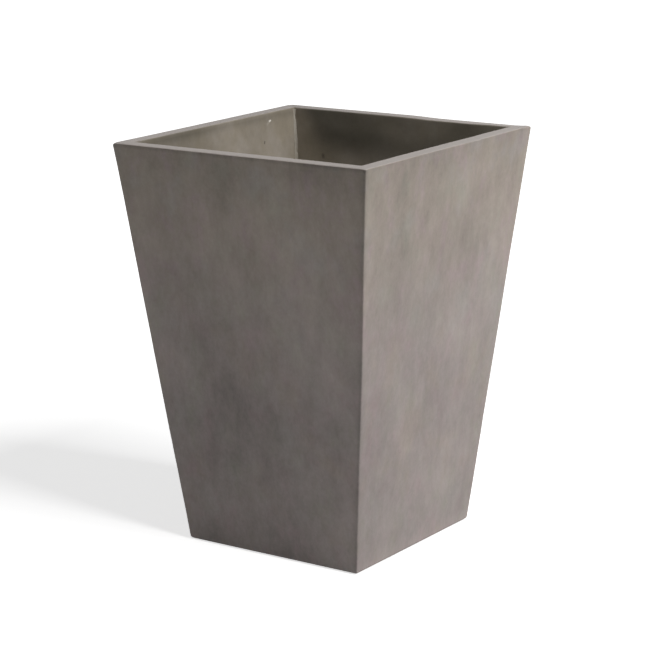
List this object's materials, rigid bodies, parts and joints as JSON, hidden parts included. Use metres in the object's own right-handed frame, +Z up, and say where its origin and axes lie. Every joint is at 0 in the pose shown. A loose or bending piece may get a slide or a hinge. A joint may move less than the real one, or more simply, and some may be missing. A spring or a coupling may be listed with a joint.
{
  "type": "tall planter",
  "caption": "Tall square planter that tapers to its base, with thick leaning walls, a recessed floor, a drain bung that pulls out and small feet.",
  "frame": {"origin": "on the ground, under the middle of the planter", "axes": "+Z up out of the open top; -Y out of the front wall, which is the shaded left-hand face in the picture; +X out of the right wall, its lit right-hand face"},
  "size_m": [0.4056, 0.4056, 0.559],
  "materials": {
    "stone_coat": "matt warm grey coat with soft clouds and streaks, over laminate",
    "laminate": "raw laminate, uneven and matt",
    "resin": "satin hand-laid resin",
    "rubber": "matt black"
  },
  "bodies": {
    "planter": {"wall_panel_front": "stone_coat", "wall_panel_right": "stone_coat", "wall_panel_back": "stone_coat", "wall_panel_left": "stone_coat", "floor_panel": "laminate", "corner_bead_front_right": "resin", "corner_bead_back_right": "resin", "corner_bead_back_left": "resin", "corner_bead_front_left": "resin", "floor_bead_front": "resin", "floor_bead_right": "resin", "floor_bead_back": "resin", "floor_bead_left": "resin", "foot_pad_front_right": "rubber", "foot_pad_back_right": "rubber", "foot_pad_back_left": "rubber", "foot_pad_front_left": "rubber"},
    "bung": {"drain_bung": "rubber"}
  },
  "joints": [
    {"name": "bung_pull", "type": "slide", "parent": "planter", "child": "bung", "axis": [0, 0, 1], "range_m": [0, 0.04]}
  ]
}
